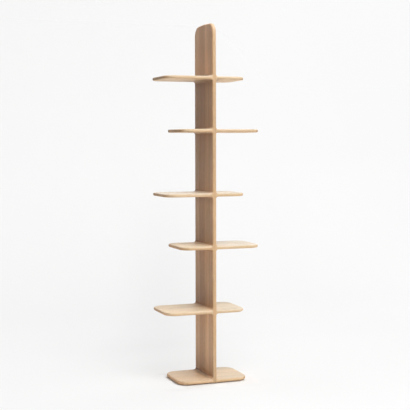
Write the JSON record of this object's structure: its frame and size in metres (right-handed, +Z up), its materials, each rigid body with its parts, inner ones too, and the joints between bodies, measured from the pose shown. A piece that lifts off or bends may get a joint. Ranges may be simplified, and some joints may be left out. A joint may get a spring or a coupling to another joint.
{
  "type": "spine bookshelf",
  "caption": "Free-standing oak bookshelf: a tall upright spine board with cantilevered shelves reaching alternately left and right, on a wider rounded base.",
  "frame": {"origin": "on the floor under the middle of the spine board, which is also the middle of the whole shelf's box", "axes": "+Z up, +X to the right as the open side with the front edge of the spine is faced, +Y to the back"},
  "size_m": [0.56, 0.287, 2],
  "materials": {
    "oak_spine": "matt oiled oak, upright grain, edge-glued staves",
    "oak_shelf": "matt oiled oak, grain along the shelf",
    "oak_base": "matt oiled oak, grain along the base",
    "dowel_beech": "bare beech",
    "pad_felt": "dense brown felt",
    "insert_brass": "turned brass"
  },
  "bodies": {
    "root": {"spine_board": "oak_spine", "shelf_1_left": "oak_shelf", "shelf_1_right": "oak_shelf", "shelf_2_left": "oak_shelf", "shelf_2_right": "oak_shelf", "shelf_3_left": "oak_shelf", "shelf_3_right": "oak_shelf", "shelf_4_left": "oak_shelf", "shelf_4_right": "oak_shelf", "shelf_5_left": "oak_shelf", "shelf_5_right": "oak_shelf", "base_left": "oak_base", "base_right": "oak_base", "dowels_level_1": "dowel_beech", "dowels_level_2": "dowel_beech", "dowels_level_3": "dowel_beech", "dowels_level_4": "dowel_beech", "dowels_level_5": "dowel_beech", "dowels_base": "dowel_beech", "floor_pad_front_left": "pad_felt", "floor_pad_front_right": "pad_felt", "floor_pad_back_left": "pad_felt", "floor_pad_back_right": "pad_felt", "tether_insert": "insert_brass"}
  },
  "joints": []
}
